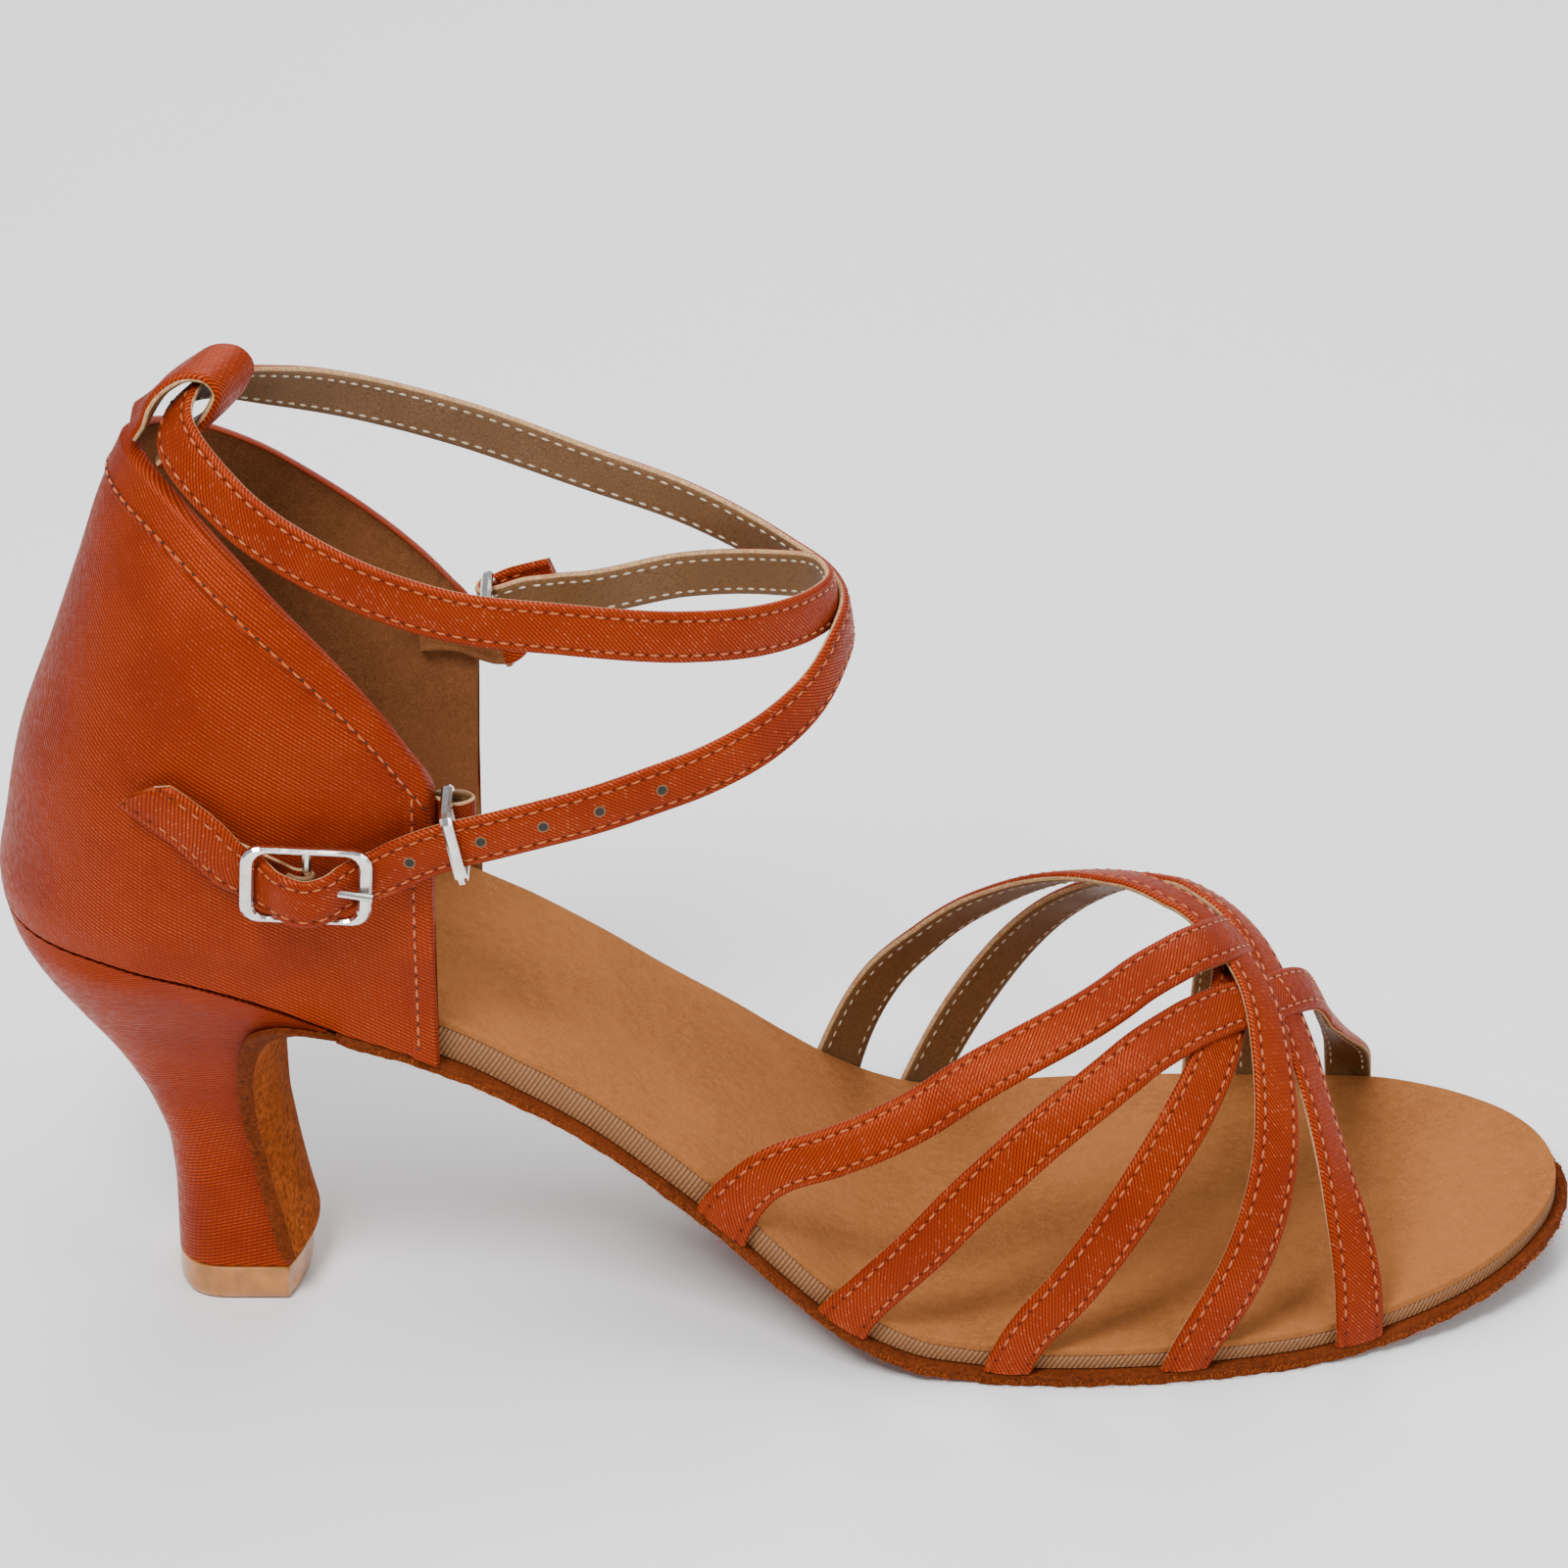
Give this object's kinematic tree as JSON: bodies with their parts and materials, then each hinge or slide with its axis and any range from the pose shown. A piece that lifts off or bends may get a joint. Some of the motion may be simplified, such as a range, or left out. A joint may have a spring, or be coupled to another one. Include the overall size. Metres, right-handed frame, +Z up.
{
  "type": "ballroom dance shoe",
  "caption": "Open-toe satin ballroom dance sandal with closed heel counter, woven vamp straps, crossed ankle strap, suede sole and slim flared heel.",
  "frame": {"origin": "on the floor under the ball of the foot, in the flat spot of the sole", "axes": "+X to the toe, -Y to the outer (lateral) side of a right foot, +Z up"},
  "size_m": [0.2396, 0.0826, 0.1558],
  "materials": {
    "satin": "satin",
    "suede": "napped",
    "insole_suede": "napped",
    "heel_rubber": "satin",
    "nickel": "polished"
  },
  "bodies": {
    "root": {"outsole": "suede", "insole_board": "insole_suede", "insole_sock": "insole_suede", "heel_block": "satin", "heel_tip": "heel_rubber", "counter": "satin", "back_loop": "satin", "vamp_straps": "satin", "ankle_strap": "satin", "lateral_tab": "satin", "medial_tab": "satin", "lateral_ring": "nickel", "medial_ring": "nickel", "buckle_frame": "nickel", "buckle_prong": "nickel", "buckle_tab": "satin"}
  },
  "joints": []
}
